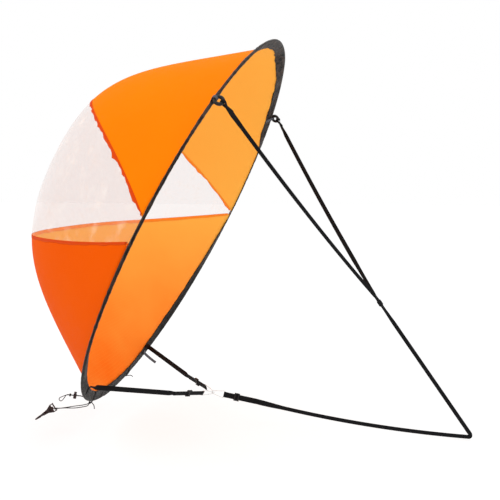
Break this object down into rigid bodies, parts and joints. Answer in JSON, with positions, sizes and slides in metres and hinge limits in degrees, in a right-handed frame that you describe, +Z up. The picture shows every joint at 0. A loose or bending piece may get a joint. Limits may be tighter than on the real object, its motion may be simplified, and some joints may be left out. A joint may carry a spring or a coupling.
{
  "type": "canoe sail",
  "caption": "Pop-up downwind sail: a sleeved hoop with an orange cloth dish and clear window, webbing bridle and sheet, linked wire rings, and deck ties with a hook and a loop.",
  "frame": {"origin": "midway between the two deck-tie eyes at the foot of the hoop, on the line about which the sail leans", "axes": "+Z up, +X aft towards the paddler, -X towards the bow, +Y to the far side; the sail is nearly symmetric about the XZ plane"},
  "size_m": [1.1723, 1.0775, 1.0325],
  "materials": {
    "sleeve_cloth": "woven, wrinkled",
    "bright_orange_cloth": "smooth coated cloth",
    "deep_orange_cloth": "smooth coated cloth",
    "clear_film": "clear film, slightly cloudy",
    "seam_orange": "stitched tape",
    "black_webbing": "ribbed webbing",
    "grey_webbing": "ribbed webbing",
    "black_plastic": "satin",
    "black_cord": "braided",
    "white_coated_wire": "glossy coating",
    "spring_steel": "drawn"
  },
  "bodies": {
    "deck_ties": {"near_tie_knot": "black_cord", "far_tie_knot": "black_cord", "near_tie_tail": "black_cord", "far_tie_tail": "black_cord", "hook_cord": "black_cord", "loop_cord": "black_cord", "loop_stop_knot": "black_cord"},
    "sail": {"hoop_rod": "spring_steel", "rod_ferrule": "spring_steel", "rim_sleeve": "sleeve_cloth", "sleeve_wrap": "sleeve_cloth", "upper_panel": "bright_orange_cloth", "lower_panel": "deep_orange_cloth", "window_film": "clear_film", "upper_seam_tape": "seam_orange", "lower_seam_tape": "seam_orange", "near_eye_ring": "black_plastic", "far_eye_ring": "black_plastic", "near_eye_tab": "grey_webbing", "far_eye_tab": "grey_webbing", "near_bridle_leg": "black_webbing", "far_bridle_leg": "black_webbing", "bridle_wrap": "black_webbing", "sheet_strap": "black_webbing", "near_lower_strap": "black_webbing", "far_lower_strap": "black_webbing", "pull_tab": "grey_webbing", "near_tie_tab": "black_cord", "far_tie_tab": "black_cord"},
    "near_slider": {"near_slider": "black_plastic"},
    "far_slider": {"far_slider": "black_plastic"},
    "sheet_slider": {"sheet_slider": "black_plastic"},
    "near_ring": {"near_ring": "white_coated_wire"},
    "far_ring": {"far_ring": "white_coated_wire"},
    "sheet_ring": {"sheet_ring": "white_coated_wire"},
    "hook_frame": {"hook_frame": "black_plastic"},
    "hook_shank": {"hook_shank": "black_plastic", "gate_pin": "spring_steel"},
    "hook_gate": {"hook_gate": "black_plastic"},
    "lock_barrel": {"lock_barrel": "black_plastic"},
    "lock_plunger": {"lock_plunger": "black_plastic"}
  },
  "joints": [
    {"name": "sail_lean", "type": "hinge", "parent": "deck_ties", "child": "sail", "pos_m": [0, 0, 0], "axis": [0, 1, 0], "range_deg": [-40, 20]},
    {"name": "sheet_slider_slide", "type": "slide", "parent": "sail", "child": "sheet_slider", "axis": [0.9859, 0, -0.1676], "range_m": [-0.02, 0.02]},
    {"name": "near_slider_slide", "type": "slide", "parent": "sail", "child": "near_slider", "axis": [-0.7171, -0.6843, 0.132], "range_m": [-0.02, 0.02]},
    {"name": "far_slider_slide", "type": "slide", "parent": "sail", "child": "far_slider", "axis": [-0.7171, 0.6843, 0.132], "range_m": [-0.02, 0.02]},
    {"name": "sheet_ring_swing", "type": "hinge", "parent": "sail", "child": "sheet_ring", "pos_m": [0.32977, 0.00076, -0.00448], "axis": [0.1429, 0.5225, 0.8406], "range_deg": [-1, 1]},
    {"name": "near_ring_swing", "type": "hinge", "parent": "sail", "child": "near_ring", "pos_m": [0.27488, -0.02249, 0.00342], "axis": [0.5112, -0.3877, 0.7671], "range_deg": [-2, 1]},
    {"name": "far_ring_swing", "type": "hinge", "parent": "sail", "child": "far_ring", "pos_m": [0.27235, 0.02408, 0.00715], "axis": [-0.1333, -0.3206, 0.9378], "range_deg": [-0.5, 1.5]},
    {"name": "hook_swing", "type": "hinge", "parent": "deck_ties", "child": "hook_frame", "pos_m": [-0.0975, -0.16, -0.0151], "axis": [0.5639, 0, -0.8258], "range_deg": [-35, 35]},
    {"name": "hook_swivel", "type": "hinge", "parent": "hook_frame", "child": "hook_shank", "pos_m": [-0.0975, -0.16, -0.0151], "axis": [-0.8258, 0, -0.5639], "continuous": true},
    {"name": "hook_gate_turn", "type": "hinge", "parent": "hook_shank", "child": "hook_gate", "pos_m": [-0.12298, -0.1684, -0.0325], "axis": [0.5639, 0, -0.8258], "range_deg": [0, 20], "stiffness_Nm_per_rad": 0.02, "springref_deg": -20.05},
    {"name": "lock_slide", "type": "slide", "parent": "deck_ties", "child": "lock_barrel", "axis": [-0.8602, -0.4761, 0.1828], "range_m": [-0.004, 0.006]},
    {"name": "lock_press", "type": "slide", "parent": "lock_barrel", "child": "lock_plunger", "axis": [-0.2079, 0, -0.9781], "range_m": [0, 0.0025], "stiffness_N_per_m": 500, "springref_m": -0.004}
  ]
}
